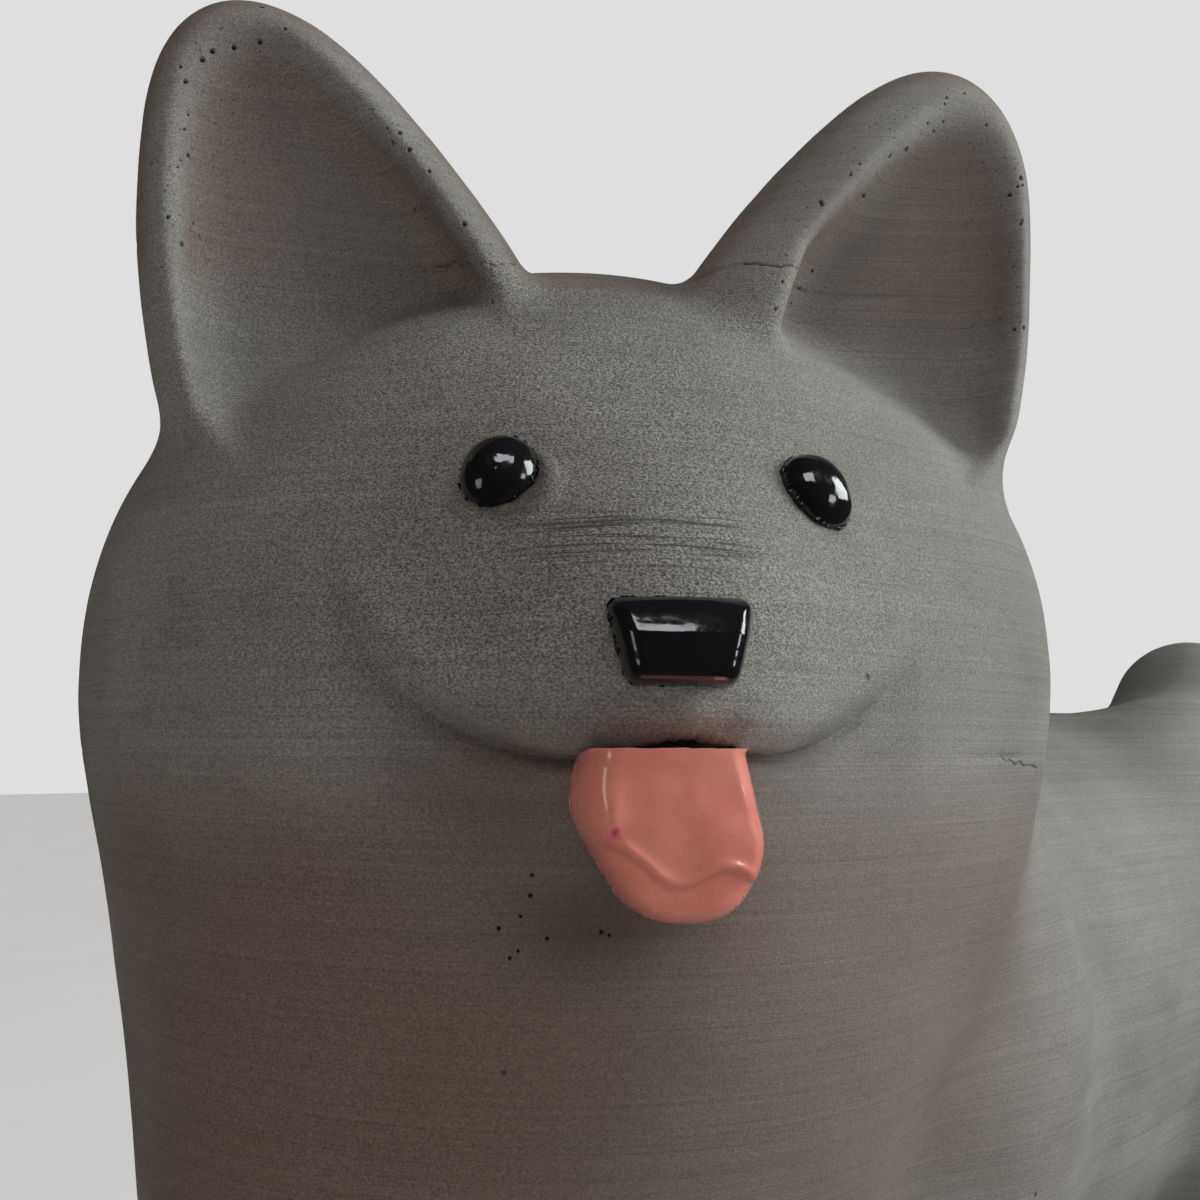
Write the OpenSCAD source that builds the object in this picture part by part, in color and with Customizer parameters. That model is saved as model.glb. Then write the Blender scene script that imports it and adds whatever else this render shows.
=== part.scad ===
// Stone dog ornament: a dog cast in fine concrete, standing on four paws, its head turned to its left.
// Millimetres, +Z up, the dog heads along -Y, the paws stand on z = 0.
// The casting is one skin over rounded forms that flow into each other.
// Eyes, nose and tongue are gloss pieces bonded into sockets of the casting,
// and a steel rod runs from each sole up into the trunk.

/* [Stance] */
// Height of the back above the ground
back_height = 182; // [174:1:192]
// Distance between the middle lines of the left and right legs
leg_spread = 54; // [50:1:60]
// Length of the trunk between the middles of shoulders and hips
trunk_length = 92; // [84:1:112]
// Width of the trunk at the ribs
trunk_width = 86; // [80:1:92]

/* [Head] */
// Angle that the head is turned to the dog's left
head_turn = 57; // [40:1:65]
// Width of the skull without the temples
head_width = 121.5; // [115:0.5:128]
// Depth of the skull from brow to nape
head_depth = 114; // [106:1:120]
// Height of the skull
head_height = 128.5; // [122:0.5:135]
// How far the middle of the head lies ahead of the shoulders
head_reach = 38; // [34:1:46]
// How far the middle of the head lies below the back
head_drop = 7; // [0:1:12]
// How far the muzzle's tip ball lies ahead of the middle of the head
muzzle_reach = 46; // [42:1:52]
// Thickness of the muzzle at its tip
muzzle_thick = 28; // [25:1:32]

/* [Ears] */
// Height above the middle of the head at which the two edges of an ear would meet
ear_rise = 97; // [92:0.5:104]
// Distance between the places where the edges of the two ears would meet
ear_spread = 102.6; // [96:0.2:108]
// Distance between the inner feet of the two ears
ear_gap = 20; // [16:0.5:24]
// Width of an ear at its foot
ear_width = 41.4; // [38:0.2:45]
// Thickness of an ear at its foot
ear_thick = 33.4; // [30:0.2:36]
// Width of the rim round the scoop of an ear
ear_rim = 7; // [6:0.5:8.5]

/* [Chest] */
// Width of the neck ruff
ruff_width = 99.5; // [94:0.5:106]
// Width of the chest
chest_width = 80; // [74:1:86]
// Height of the middle of the chest above the ground
chest_height = 125; // [118:1:132]

/* [Legs] */
// Thickness of a foreleg above the paw
foreleg_thick = 27; // [25:1:32]
// Thickness of a hind leg at the hock
hock_thick = 28; // [26:1:32]
// Height of the hock
hock_height = 42; // [36:1:50]
// Height of the knee
knee_height = 78; // [70:1:86]
// Width of a paw
paw_width = 33; // [30:1:38]
// Length of a paw
paw_length = 46; // [40:1:52]

/* [Tail] */
// Thickness of the curled tail
tail_thick = 29; // [26:1:33]
// How far the curl lies back from the hips
tail_reach = 50; // [46:1:56]

/* [Eyes] */
// Diameter of an eye
eye_d = 7.4; // [6.6:0.1:9]
// Distance between the eyes
eye_spread = 31.8; // [27:0.2:36]
// Height of the eyes above the middle of the head
eye_rise = 26.1; // [21:0.1:30]
// How much higher the dog's right eye sits than its left one
eye_skew = 0.2; // [0:0.1:2]
// How far an eye stands proud of the face
eye_dome = 3.2; // [2:0.1:3.3]
// How deep an eye sits in its socket
eye_seat = 2.5; // [2:0.1:4]

/* [Nose] */
// Width of the nose at its top
nose_width = 12.8; // [11:0.2:15]
// Width of the nose at its bottom
nose_foot = 9.6; // [8:0.2:11]
// Height of the nose
nose_height = 7.6; // [6:0.2:9]
// Height of the middle of the nose above the middle of the head
nose_rise = 9.2; // [8:0.2:11]
// How far the nose stands proud of the muzzle
nose_proud = 3; // [2:0.2:4]
// How deep the nose sits in its socket
nose_seat = 3; // [2.5:0.5:5]
// Radius of the nose's corners
nose_round = 1.8; // [1.4:0.1:2.4]

/* [Tongue] */
// Width of the tongue at its widest
tongue_width = 16.8; // [14:0.2:19]
// Length of the tongue that hangs out of the mouth
tongue_hang = 12.4; // [11:0.2:17]
// Thickness of the tongue
tongue_thick = 4.6; // [4:0.2:6]
// How far the tongue lies to the dog's right
tongue_side = 0.5; // [0:0.1:3]
// Height of the mouth slot above the middle of the head
mouth_rise = -2; // [-3.5:0.1:-1]
// Depth of the mouth slot that holds the tongue's root
mouth_depth = 9; // [7:0.5:12]

/* [Rods] */
// Diameter of the steel rods in the legs
rod_d = 5; // [4:0.5:6]
// Height that the rods reach in the casting
rod_top = 118; // [108:1:126]
// How far the rods end short of the soles
rod_recess = 1; // [0.5:0.5:3]

/* [Fit] */
// Bond gap round a piece in its socket
bond_gap = 0.1; // [0.05:0.05:0.2]
// Gap between the tongue and the chin that it hangs over
hang_gap = 0.3; // [0.2:0.1:0.6]
// Largest edge of the skin's facets on the head
skin_fine = 5.4; // [5.2:0.1:6]
// Largest edge of the skin's facets on the trunk and the legs
skin_coarse = 8.8; // [8.6:0.1:10]

/* [Hidden] */

stone_grey = [0.44, 0.42, 0.39];
gloss_black = [0.03, 0.03, 0.035];
coral = [0.88, 0.48, 0.42];
steel = [0.6, 0.61, 0.63];

// Places along the body, from the ornament's middle
trunk_y = 13;
shoulder_y = trunk_y - trunk_length / 2;
hip_y = trunk_y + trunk_length / 2;
leg_x = leg_spread / 2;
belly_z = back_height - trunk_width;
head_side = 3.5;
head_at = [head_side, shoulder_y - head_reach, back_height - head_drop];

// Blend radii between the rounded forms
blend_head = 14;
blend_trunk = 12;
blend_shoulder = 5;
blend_leg = 9;
blend_ear = 5;
blend_rim = 4;
blend_tail = 6;
blend_neck = 9;

// Rounded forms, each a signed distance from its skin
tiny = 0.0001;
function blend(a, b, k) = let (h = max(k - abs(a - b), 0) / k) min(a, b) - h * h * k / 4;
function carve(a, b, k) = -blend(-a, b, k);
function cut(a, b, k) = -blend(-a, -b, k);
function spread(p, r) = [p.x / r.x, p.y / r.y, p.z / r.z];
function ball(p, c, r) =
    let (q = spread(p - c, r), s = norm(spread(q, r)), d = norm(q))
    s < tiny ? -min(r) : d * (d - 1) / s;
function limb(p, a, b, ra, rb) =
    let (
        ab = b - a,
        ap = p - a,
        l2 = ab * ab,
        dr = ra - rb,
        side2 = l2 - dr * dr,
        along = ap * ab,
        past = along - l2,
        off = ap * l2 - ab * along,
        off2 = off * off,
        lean = sign(dr) * dr * dr * off2
    )
    sign(past) * side2 * past * past * l2 > lean ? sqrt(off2 + past * past * l2) / l2 - rb :
    sign(along) * side2 * along * along * l2 < lean ? sqrt(off2 + along * along * l2) / l2 - ra :
    (sqrt(off2 * side2 / l2) + along * dr) / l2 - ra;

// The head has its own frame: x to the dog's left, -y ahead, origin in the middle of the skull
turn_c = cos(head_turn);
turn_s = sin(head_turn);
function to_head(p) =
    let (q = p - head_at)
    [q.x * turn_c + q.y * turn_s, q.y * turn_c - q.x * turn_s, q.z];
function from_head(q) =
    head_at + [q.x * turn_c - q.y * turn_s, q.x * turn_s + q.y * turn_c, q.z];
function mirrored(p) = [abs(p.x), p.y, p.z];

// Seen from ahead an ear is a leaf between two arcs, each with its middle and its radius
skull_r = [head_width, head_depth, head_height] / 2;
ear_peak = [ear_spread / 2, ear_rise];
inner_drop = 7.15;
outer_drop = 28.45;
ear_inner = [ear_gap / 2, skull_r.z - inner_drop];
ear_outer = [ear_gap / 2 + ear_width, skull_r.z - outer_drop];
bow_inner = 3.8;
bow_outer = 4.2;
function arc(a, b, bow, side) =
    let (
        chord = b - a,
        out = side * [chord.y, -chord.x] / norm(chord),
        r = (chord * chord / 4 + bow * bow) / bow / 2
    )
    [(a + b) / 2 - out * (r - bow), r];
function beyond(p, a) = norm(p - a[0]) - a[1];
inner_arc = arc(ear_inner, ear_peak, bow_inner, -1);
outer_arc = arc(ear_outer, ear_peak, bow_outer, 1);

// The leaf thins and leans ahead as it rises, and a scoop inside its rim hollows its front
ear_y = -14.4;
ear_lean = 0.15;
ear_taper = 0.17;
ear_low = 24;
leaf_point = 22.5;
leaf_edge = 13;
leaf_foot = 18;
scoop_at = [35, -16.3];
scoop_lean = 0.3;
scoop_tilt = 0.1;
scoop_round = 10;
function ear(p) =
    let (
        flat = [p.x, p.z],
        rise = p.z - ear_outer.y,
        leaf = cut(beyond(flat, inner_arc), beyond(flat, outer_arc), leaf_point),
        slab = abs(p.y - ear_y + ear_lean * rise) - (ear_thick / 2 - ear_taper * rise),
        horn = cut(cut(leaf, slab, leaf_edge), ear_low - p.z, leaf_foot),
        ahead = p.y - scoop_at.y + scoop_lean * rise + scoop_tilt * (p.x - scoop_at.x)
    )
    carve(horn, cut(leaf + ear_rim, ahead, scoop_round), blend_rim);

// The skull is a crown with temples, the muzzle ahead and the ears above
skull_back = 5;
temple_share = 0.288;
temple_at = [head_width * temple_share, 3, 15.5];
temple_r = [24.5, 34, 30.3];
muzzle_z = 10;
muzzle_tip = [0, -muzzle_reach, muzzle_z];
muzzle_set = [0, 23, 5];
muzzle_root = muzzle_tip + muzzle_set;
muzzle_root_r = 22;
ear_far = ear_low - 2 * blend_ear;
function skull(q) =
    let (
        m = mirrored(q),
        crown = ball(q, [0, skull_back, 0], skull_r),
        temples = ball(m, temple_at, temple_r),
        muzzle = limb(q, muzzle_root, muzzle_tip, muzzle_root_r, muzzle_thick / 2),
        face = blend(blend(crown, temples, blend_head), muzzle, blend_head)
    )
    q.z < ear_far ? face : blend(face, ear(m), blend_ear);

// The ruff hangs round the neck and runs down into the chest
ruff_set = [-head_side, -8.6, -28];
ruff_at = head_at + ruff_set;
ruff_r = [ruff_width / 2, 38, 48];
neck_set = [0, -3, -28];
neck_at = [0, shoulder_y, back_height] + neck_set;
neck_r = 28;
chest_ahead = 11.7;
chest_at = [0, head_at.y - chest_ahead, chest_height];
function ruff(p) =
    blend(ball(p, ruff_at, ruff_r), limb(p, neck_at, chest_at, neck_r, chest_width / 2), blend_trunk);

// Legs are drawn on the left, and a mirrored point makes the right ones
paw_r = [paw_width / 2, paw_length / 2, 14];
paw_z = 9;
foreleg_ahead = 28;
foreleg_y = shoulder_y - foreleg_ahead;
elbow_set = [-3, 14, 10];
elbow = [leg_x, foreleg_y, belly_z] + elbow_set;
elbow_r = 17.5;
wrist_z = 20;
wrist = [leg_x, foreleg_y, wrist_z];
paw_ahead = 7;
fore_paw = [leg_x, foreleg_y - paw_ahead, paw_z];
function foreleg(m) =
    blend(limb(m, elbow, wrist, elbow_r, foreleg_thick / 2), ball(m, fore_paw, paw_r), blend_leg);

thigh_set = [0, 8, 12];
thigh = [leg_x, hip_y, belly_z] + thigh_set;
thigh_r = 28;
knee_set = [1, 6, 0];
knee = [leg_x, hip_y, knee_height] + knee_set;
knee_r = 19;
hock_back = 22;
hock = [leg_x, hip_y + hock_back, hock_height];
hock_r = hock_thick / 2;
heel_back = 19;
heel_z = 12;
heel = [leg_x, hip_y + heel_back, heel_z];
heel_taper = 0.5;
heel_r = hock_r - heel_taper;
hind_paw_back = 11;
hind_paw = [leg_x, hip_y + hind_paw_back, paw_z];
function hind_leg(m) =
    let (
        upper = limb(m, thigh, knee, thigh_r, knee_r),
        shank = limb(m, knee, hock, knee_r, hock_r),
        foot = limb(m, hock, heel, hock_r, heel_r),
        paw = ball(m, hind_paw, paw_r)
    )
    blend(blend(blend(upper, shank, blend_leg), foot, blend_leg), paw, blend_leg);

// The tail rises behind the hips and lies curled to the left on the back
tail_r = tail_thick / 2;
tail_back = 4;
tail_root = [0, hip_y + tail_back, back_height];
tail_curl = [[0, tail_reach - 20, -32], [3, tail_reach, -16], [9, tail_reach - 2, -3],
             [15, tail_reach - 12, 1.5], [20, tail_reach - 23, -4]];
tail_at = [for (t = tail_curl) tail_root + t];
tail_taper = [2.5, 0.5, 0, -0.5, -3.5];
function tail(p, i = 0) =
    let (piece = limb(p, tail_at[i], tail_at[i + 1], tail_r + tail_taper[i], tail_r + tail_taper[i + 1]))
    i == len(tail_at) - 2 ? piece : blend(piece, tail(p, i + 1), blend_tail);

// The trunk is two limbs that meet at the waist over a keel, with shoulders and hips on its sides
back_dip = 2;
trunk_r = trunk_width / 2;
nape_r = 28;
waist_ahead = 6;
nape_ahead = 2;
nape = [0, shoulder_y - nape_ahead, back_height - nape_r - back_dip];
waist = [0, trunk_y - waist_ahead, back_height - trunk_r - back_dip];
loin_taper = 3;
loin_r = trunk_r - loin_taper;
loin_back = 20;
croup_rise = 1;
loin = [0, hip_y + loin_back, back_height - loin_r + croup_rise];
keel_front = [0, trunk_y - 26, back_height - 64];
keel_rear = [0, trunk_y + 36, back_height - 62];
keel_r = 38;
keel_taper = 2;
shoulder_set = [25, 6, -47];
shoulder_at = [0, shoulder_y, back_height] + shoulder_set;
shoulder_r = [22.5, 31, 42];
hip_set = [24, 14, -42];
hip_at = [0, hip_y, back_height] + hip_set;
hip_r = [22, 40, 46];
function trunk(p) =
    let (
        m = mirrored(p),
        ribs = min(limb(p, nape, waist, nape_r, trunk_r), limb(p, waist, loin, trunk_r, loin_r)),
        keel = limb(p, keel_front, keel_rear, keel_r, keel_r - keel_taper),
        barrel = blend(ribs, keel, blend_trunk),
        shoulders = ball(m, shoulder_at, shoulder_r),
        hips = ball(m, hip_at, hip_r)
    )
    blend(blend(barrel, shoulders, blend_shoulder), hips, blend_trunk);

// The whole dog: what is far from a point is left out of its sum
far = 1000;
leg_far = belly_z + 2 * thigh_r;
head_half = max(head_width, head_depth) / 2 + skull_back;
head_far = head_at.y + head_half + 2 * blend_head;
function legs(p) =
    p.z > leg_far ? far : let (m = mirrored(p)) p.y < trunk_y ? foreleg(m) : hind_leg(m);
function dog(p) =
    let (
        rump = blend(trunk(p), legs(p), blend_leg),
        rear = p.y < trunk_y ? rump : blend(rump, tail(p), blend_leg)
    )
    p.y > head_far ? rear :
    blend(rear, blend(ruff(p), skull(to_head(p)), blend_head), blend_neck);

// The grid round the dog is finer on the head than on the trunk and the legs
skin_room = 10;
sole_depth = 6;
skin_low = [-head_half - skin_room, head_at.y - head_half - skin_room, -sole_depth - skin_coarse];
skin_high = [head_half + skin_room, tail_root.y + tail_reach + tail_r + skin_room,
             head_at.z + ear_rise + skin_room];
head_back = head_at.y + head_half;
head_foot = head_at.z - head_height / 2;
function steps(a, b, d) = let (n = ceil((b - a) / d)) [for (i = [0:n - 1]) a + (b - a) * i / n];
grid_x = concat(steps(skin_low.x, skin_high.x, skin_fine), [skin_high.x]);
grid_y = concat(steps(skin_low.y, head_back, skin_fine),
                steps(head_back, skin_high.y, skin_coarse), [skin_high.y]);
grid_z = concat(steps(skin_low.z, head_foot, skin_coarse),
                steps(head_foot, skin_high.z, skin_fine), [skin_high.z]);
size = [len(grid_x), len(grid_y), len(grid_z)];
function at(n) = [grid_x[n.x], grid_y[n.y], grid_z[n.z]];
function value(field, n) = field[n.x][n.y][n.z];

// A corner is put on the skin by a short step down the slope of the distance
slope_step = 0.2;
settle_most = 1.5;
function slope(p) =
    let (d = dog(p), e = slope_step)
    [dog(p + [e, 0, 0]) - d, dog(p + [0, e, 0]) - d, dog(p + [0, 0, e]) - d] / e;
function settle(p) =
    let (g = slope(p), n = norm(g), d = dog(p) / n)
    p - max(-settle_most, min(settle_most, d)) * g / n;

// A cell that the skin crosses holds one corner, in the middle of the crossings of its edges
cell_corners = [for (a = [0, 1], b = [0, 1], c = [0, 1]) [a, b, c]];
cell_edges = [for (a = cell_corners, b = cell_corners)
    if (norm(b - a) == 1 && norm(a) < norm(b)) [a, b]];
function mean(list) = [for (i = list) 1] * list / len(list);
function crossings(field, n) =
    [for (e = cell_edges)
        let (a = value(field, n + e[0]), b = value(field, n + e[1]))
        if ((a < 0) != (b < 0)) (at(n + e[0]) * b - at(n + e[1]) * a) / (b - a)];
function crossed(field, n) =
    let (inside = len([for (s = cell_corners) if (value(field, n + s) < 0) 1]))
    inside > 0 && inside < len(cell_corners);

// A grid point outside the skin, wedged between two inside ones, would pinch the skin to an edge
axes = [[1, 0, 0], [0, 1, 0], [0, 0, 1]];
wedges = [for (a = [0:2], b = [a + 1:1:2], s = [-1, 1], t = [-1, 1]) [s * axes[a], t * axes[b]]];
just_inside = -0.01;
function wedged(field, n) =
    len([for (w = wedges) if (value(field, n + w[0]) < 0 && value(field, n + w[1]) < 0
                              && value(field, n + w[0] + w[1]) >= 0) 1]) > 0;
function filled(field, n) =
    let (v = value(field, n))
    v >= 0 && v < skin_fine && wedged(field, n) ? just_inside : v;

function quad(q, flip) =
    flip ? [[q[0], q[2], q[1]], [q[0], q[3], q[2]]] : [[q[0], q[1], q[2]], [q[0], q[2], q[3]]];

// The skin: where two neighbours of the grid lie on either side, the four cells round them share a face
module dog_skin() {
    raw = [for (i = [0:size.x - 1]) [for (j = [0:size.y - 1]) [for (k = [0:size.z - 1])
        dog(at([i, j, k]))]]];
    field = [for (i = [0:size.x - 1]) [for (j = [0:size.y - 1]) [for (k = [0:size.z - 1])
        filled(raw, [i, j, k])]]];
    cells = [for (i = [0:size.x - 2], j = [0:size.y - 2], k = [0:size.z - 2]) [i, j, k]];
    marks = [for (c = cells) crossed(field, c) ? 1 : 0];
    corners = [for (c = [0:len(cells) - 1]) if (marks[c] == 1) settle(mean(crossings(field, cells[c])))];
    index = [for (c = 0, n = 0; c < len(marks); n = n + marks[c], c = c + 1) n];
    stride = [(size.y - 1) * (size.z - 1), size.z - 1, 1];
    function cell(i, j, k) = index[[i, j, k] * stride];
    faces = [for (i = [1:size.x - 2], j = [1:size.y - 2], k = [1:size.z - 2])
        let (in = field[i][j][k] < 0)
        each concat(
            (field[i + 1][j][k] < 0) == in ? [] :
                quad([cell(i, j - 1, k - 1), cell(i, j, k - 1), cell(i, j, k), cell(i, j - 1, k)], in),
            (field[i][j + 1][k] < 0) == in ? [] :
                quad([cell(i - 1, j, k - 1), cell(i - 1, j, k), cell(i, j, k), cell(i, j, k - 1)], in),
            (field[i][j][k + 1] < 0) == in ? [] :
                quad([cell(i - 1, j - 1, k), cell(i, j - 1, k), cell(i, j, k), cell(i - 1, j, k)], in)
        )];
    polyhedron(corners, faces);
}

// Seats: a point on the face, found by stepping on to the skin from ahead
land_steps = 30;
land_share = 0.9;
function land(q, n) = n == 0 ? q : land(q + [0, dog(from_head(q)) * land_share, 0], n - 1);
function on_face(x, z) = land([x, -2 * muzzle_reach, z], land_steps);
module in_head(q) {
    translate(from_head(q)) rotate([0, 0, head_turn]) children();
}
module along(p, n) {
    translate(p) rotate([0, acos(n.z / norm(n)), atan2(n.y, n.x)]) children();
}

// A round piece and its hole have the same facets
round_facets = 24;

// An eye is a dome on a short round shank, square to the face
eye_side = 1.1;
eye_r = eye_d / 2;
eye_dome_r = (eye_r * eye_r + eye_dome * eye_dome) / eye_dome / 2;
module at_eye(side) {
    p = from_head(on_face(eye_side + side * eye_spread / 2, eye_rise - side * eye_skew / 2));
    along(p, slope(p)) children();
}
module eye(side) {
    at_eye(side) {
        translate([0, 0, -eye_seat]) cylinder(r = eye_r, h = eye_seat, $fn = round_facets);
        intersection() {
            translate([0, 0, eye_dome - eye_dome_r]) sphere(eye_dome_r, $fn = round_facets);
            cylinder(r = eye_r, h = 2 * eye_dome, $fn = round_facets);
        }
    }
}
module eye_socket(side) {
    at_eye(side) translate([0, 0, -eye_seat - bond_gap])
        cylinder(r = eye_r + bond_gap, h = 2 * eye_seat, $fn = round_facets);
}

// The nose is a rounded trapezoid, wider above, with its front edges drawn in
nose_lean = 6;
nose_draw = 1.2;
module at_nose() {
    in_head(on_face(0, nose_rise)) rotate([90 - nose_lean, 0, 0]) children();
}
module nose_outline(grow) {
    r = nose_round + grow;
    high = nose_height / 2 - nose_round;
    hull() for (s = [-1, 1]) {
        translate([s * (nose_width / 2 - nose_round), high]) circle(r, $fn = round_facets);
        translate([s * (nose_foot / 2 - nose_round), -high]) circle(r, $fn = round_facets);
    }
}
module nose_pebble() {
    at_nose() hull() {
        translate([0, 0, -nose_seat]) linear_extrude(nose_seat + nose_proud / 2) nose_outline(0);
        linear_extrude(nose_proud) nose_outline(-nose_draw);
    }
}
module nose_socket() {
    at_nose() translate([0, 0, -nose_seat - bond_gap]) linear_extrude(2 * nose_seat) nose_outline(bond_gap);
}

// The tongue runs out of the mouth slot, bends over the lip and hangs down the chin
tongue_x = -tongue_side;
tongue_root = tongue_width * 0.9;
tongue_bend = tongue_thick * 0.65;
tongue_rings = 8;
tongue_sides = 24;
bend_step = 22.5;
// Rings of the tongue from its root to its tip: ahead, height and tilt
function tongue_line() =
    let (
        lip = on_face(tongue_x, mouth_rise).y,
        tip_z = mouth_rise - tongue_hang,
        tip_y = on_face(tongue_x, tip_z).y - hang_gap - tongue_thick / 2,
        over = lip - hang_gap,
        front = over - tongue_bend,
        fold_z = mouth_rise - tongue_bend
    )
    concat(
        [[lip + mouth_depth - bond_gap, mouth_rise, 0], [lip + mouth_depth / 2, mouth_rise, 0]],
        [for (a = [0:bend_step:90]) [over - tongue_bend * sin(a), fold_z + tongue_bend * cos(a), a]],
        [for (i = [1:tongue_rings])
            let (u = i / tongue_rings)
            [front + (tip_y - front) * u, fold_z + (tip_z - fold_z) * u, 90]]
    );
// Half width at a share u of the tongue's length: straight root, full middle, round tip
root_end = 0.35;
full_at = 0.6;
tip_least = 0.03;
function tongue_half(u) =
    let (w = tongue_width / 2, r = tongue_root / 2)
    u < root_end ? r :
    u < full_at ? r + (w - r) * sin((u - root_end) / (full_at - root_end) * 90) :
    w * sqrt(max(tip_least, 1 - pow((u - full_at) / (1 - full_at), 2)));
// A ring is a rounded bar, thinner where the tongue is narrow
bar_wide = 0.6;
bar_thick = 0.75;
bar_least = 0.45;
function power(v, e) = sign(v) * pow(abs(v), e);
function thick_half(w) = tongue_thick / 2 * min(1, bar_least + w / tongue_width);
function bar(w, t) =
    [for (k = [0:tongue_sides - 1])
        let (a = 360 * k / tongue_sides)
        [w * power(cos(a), bar_wide), t * power(sin(a), bar_thick)]];
module tongue_slab() {
    line = tongue_line();
    last = len(line) - 1;
    n = tongue_sides;
    points = [for (i = [0:last])
        let (c = line[i], w = tongue_half(i / last))
        for (b = bar(w, thick_half(w)))
            from_head([tongue_x + b.x, c.x - b.y * sin(c[2]), c.y + b.y * cos(c[2])])];
    sides = [for (i = [0:last - 1], k = [0:n - 1])
        let (a = i * n + k, b = i * n + (k + 1) % n)
        each [[a, b + n, b], [a, a + n, b + n]]];
    caps = [[for (k = [0:n - 1]) k], [for (k = [0:n - 1]) last * n + n - 1 - k]];
    polyhedron(points, concat(sides, caps));
}
module mouth_slot() {
    w = tongue_root / 2;
    in_head(on_face(tongue_x, mouth_rise)) rotate([90, 0, 0]) translate([0, 0, -mouth_depth])
        linear_extrude(mouth_depth + tongue_thick) polygon(bar(w + bond_gap, thick_half(w) + bond_gap));
}

// A rod stands in each leg and leans with it, from the sole into the trunk
rod_set = [1, 3];
fore_rod = [foreleg_y, elbow.y];
hind_rod = [heel.y - rod_set[0], thigh.y + rod_set[1]];
module leg_rod(side, ends, from, to, d) {
    foot = [side * leg_x, ends[0], 0];
    lean = [0, ends[1] - ends[0], rod_top];
    along(foot, lean) translate([0, 0, from]) cylinder(d = d, h = to - from, $fn = round_facets);
}
module rod(side, ends) {
    color(steel) leg_rod(side, ends, rod_recess, rod_top, rod_d);
}
module rod_bore(side, ends) {
    leg_rod(side, ends, -sole_depth, rod_top + bond_gap, rod_d + 2 * bond_gap);
}

// What lies below the ground is cut off, which leaves the four flat soles
module ground() {
    span = skin_high - skin_low;
    translate([skin_low.x, skin_low.y, 2 * skin_low.z]) cube([span.x, span.y, -2 * skin_low.z]);
}
module casting() {
    color(stone_grey) difference() {
        dog_skin();
        ground();
        nose_socket();
        mouth_slot();
        for (side = [-1, 1]) {
            eye_socket(side);
            rod_bore(side, fore_rod);
            rod_bore(side, hind_rod);
        }
    }
}
module eye_left() {
    color(gloss_black) eye(1);
}
module eye_right() {
    color(gloss_black) eye(-1);
}
module nose() {
    color(gloss_black) nose_pebble();
}
module tongue() {
    color(coral) tongue_slab();
}
module front_left_rod() {
    rod(1, fore_rod);
}
module front_right_rod() {
    rod(-1, fore_rod);
}
module hind_left_rod() {
    rod(1, hind_rod);
}
module hind_right_rod() {
    rod(-1, hind_rod);
}

casting();
eye_left();
eye_right();
nose();
tongue();
front_left_rod();
front_right_rod();
hind_left_rod();
hind_right_rod();
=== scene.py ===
import math

import bmesh
import bpy
import numpy as np
from mathutils import Matrix, Vector


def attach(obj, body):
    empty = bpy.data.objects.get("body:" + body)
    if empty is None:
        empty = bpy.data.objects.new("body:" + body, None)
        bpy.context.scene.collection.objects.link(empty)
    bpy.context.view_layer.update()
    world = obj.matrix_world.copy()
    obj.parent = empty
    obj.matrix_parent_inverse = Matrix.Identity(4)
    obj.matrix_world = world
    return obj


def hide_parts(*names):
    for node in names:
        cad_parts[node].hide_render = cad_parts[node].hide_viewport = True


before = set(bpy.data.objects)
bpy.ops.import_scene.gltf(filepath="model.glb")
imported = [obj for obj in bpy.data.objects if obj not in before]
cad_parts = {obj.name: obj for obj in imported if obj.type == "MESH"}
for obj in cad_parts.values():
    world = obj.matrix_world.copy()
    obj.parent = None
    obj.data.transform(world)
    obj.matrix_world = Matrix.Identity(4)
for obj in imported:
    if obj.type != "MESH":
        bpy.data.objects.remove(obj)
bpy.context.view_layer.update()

MM = 0.001

# The dog's forms in millimetres, as the solids have them
TRUNK_Y = 13.0
SHOULDER_Y = TRUNK_Y - 46.0
HIP_Y = TRUNK_Y + 46.0
BACK = 182.0
BELLY = 96.0
LEG_X = 27.0
HEAD_AT = np.array([3.5, SHOULDER_Y - 38.0, BACK - 7.0])
TURN = math.radians(57.0)
TURN_C, TURN_S = math.cos(TURN), math.sin(TURN)

BLEND_HEAD, BLEND_TRUNK, BLEND_LEG, BLEND_SHOULDER = 14.0, 12.0, 9.0, 5.0
BLEND_EAR, BLEND_RIM, BLEND_TAIL, BLEND_NECK = 5.0, 2.4, 6.0, 9.0


def vec(*v):
    return np.array(v, float)


def blend(a, b, k):
    """Smooth union of two distances."""
    h = np.maximum(k - np.abs(a - b), 0) / k
    return np.minimum(a, b) - h * h * k / 4


def carve(a, b, k):
    """Distance a with distance b cut out of it, with a round rim."""
    return -blend(-a, b, k)


def ball(p, c, r):
    q = (p - c) / r
    d = np.linalg.norm(q, axis=1)
    s = np.linalg.norm(q / r, axis=1)
    return d * (d - 1) / np.maximum(s, 1e-4)


def limb(p, a, b, ra, rb):
    """Distance from a round cone between two balls."""
    ab = b - a
    ap = p - a
    l2 = ab @ ab
    dr = ra - rb
    side2 = l2 - dr * dr
    along = ap @ ab
    past = along - l2
    off = ap * l2 - ab * along[:, None]
    off2 = np.einsum("ij,ij->i", off, off)
    lean = np.sign(dr) * dr * dr * off2
    end = np.sqrt(off2 + past * past * l2) / l2 - rb
    start = np.sqrt(off2 + along * along * l2) / l2 - ra
    side = (np.sqrt(off2 * side2 / l2) + along * dr) / l2 - ra
    near_end = np.sign(past) * side2 * past * past * l2 > lean
    near_start = np.sign(along) * side2 * along * along * l2 < lean
    return np.where(near_end, end, np.where(near_start, start, side))


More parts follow.
